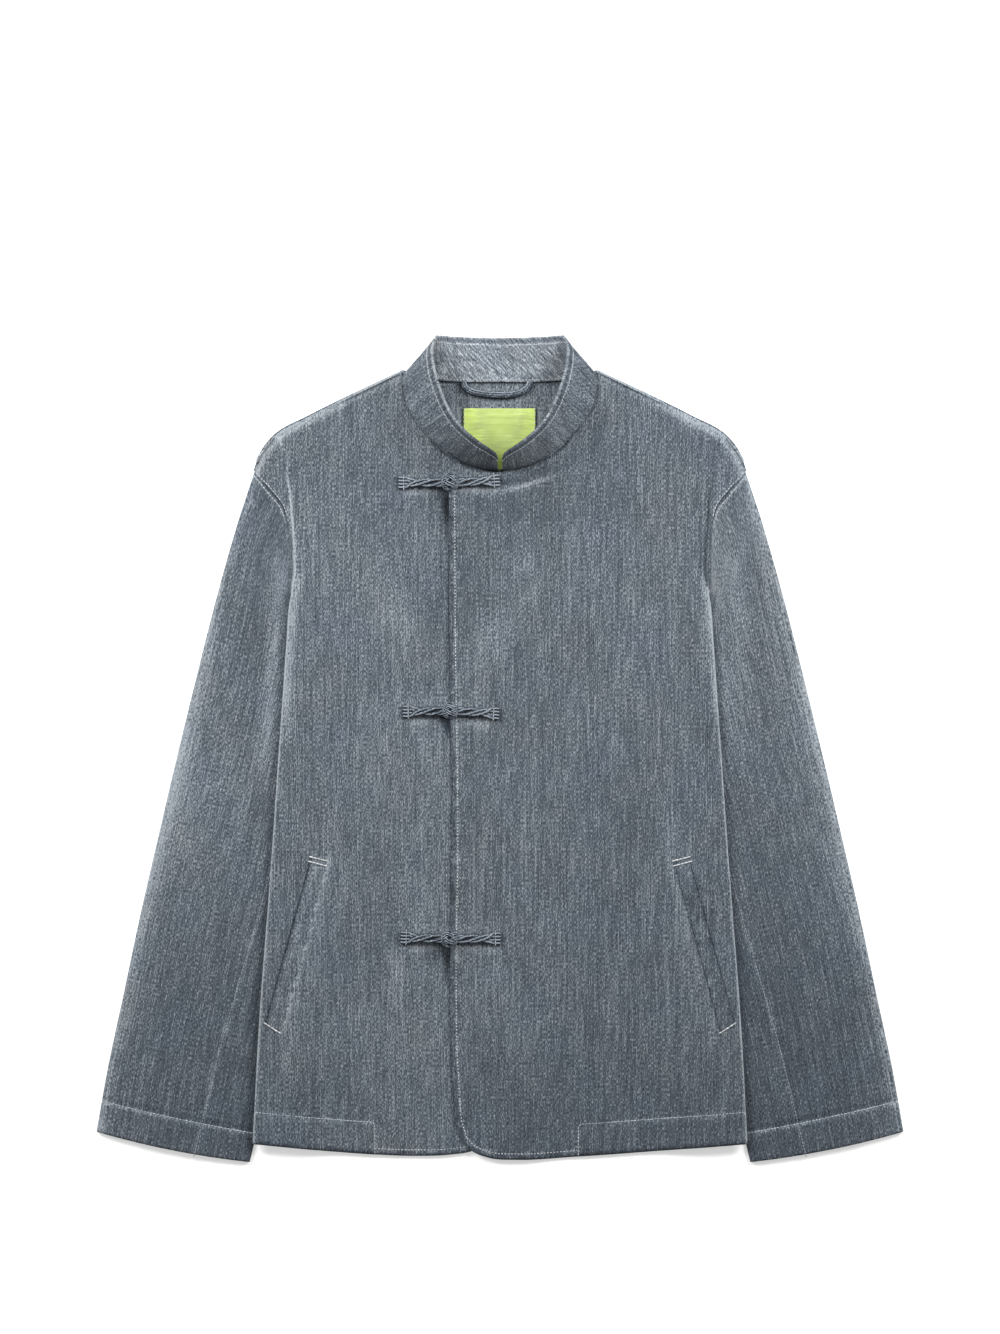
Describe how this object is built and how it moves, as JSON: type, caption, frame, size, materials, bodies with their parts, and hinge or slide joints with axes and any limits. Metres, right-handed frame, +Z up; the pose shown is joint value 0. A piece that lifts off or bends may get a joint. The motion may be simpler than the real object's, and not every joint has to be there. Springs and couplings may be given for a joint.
{
  "type": "mandarin collar jacket",
  "caption": "Denim jacket laid flat: stand collar, overlapping front with knotted frog fastenings, slanted welt pockets, long sleeves tucked beside the body, bare neck label and hanger loop",
  "frame": {"origin": "On the floor under the middle of the laid jacket's bounding box", "axes": "+X to the wearer's left, which is the viewer's right; +Y from hem to collar; +Z up from the floor, out of the front of the jacket"},
  "size_m": [0.742, 0.76, 0.0359],
  "materials": {
    "denim": "washed grey-blue slub denim",
    "frog_cord": "twisted cords of the same denim",
    "label": "bare lime woven satin"
  },
  "bodies": {
    "root": {"back_panel": "denim", "front_left": "denim", "front_right": "denim", "sleeve_left": "denim", "sleeve_right": "denim", "collar_band": "denim", "pocket_welt_left": "denim", "pocket_welt_right": "denim", "hanger_loop": "denim", "neck_label": "label", "frog_1_loop": "frog_cord", "frog_1_tail": "frog_cord", "frog_1_knot": "frog_cord", "frog_2_loop": "frog_cord", "frog_2_tail": "frog_cord", "frog_2_knot": "frog_cord", "frog_3_loop": "frog_cord", "frog_3_tail": "frog_cord", "frog_3_knot": "frog_cord"}
  },
  "joints": []
}
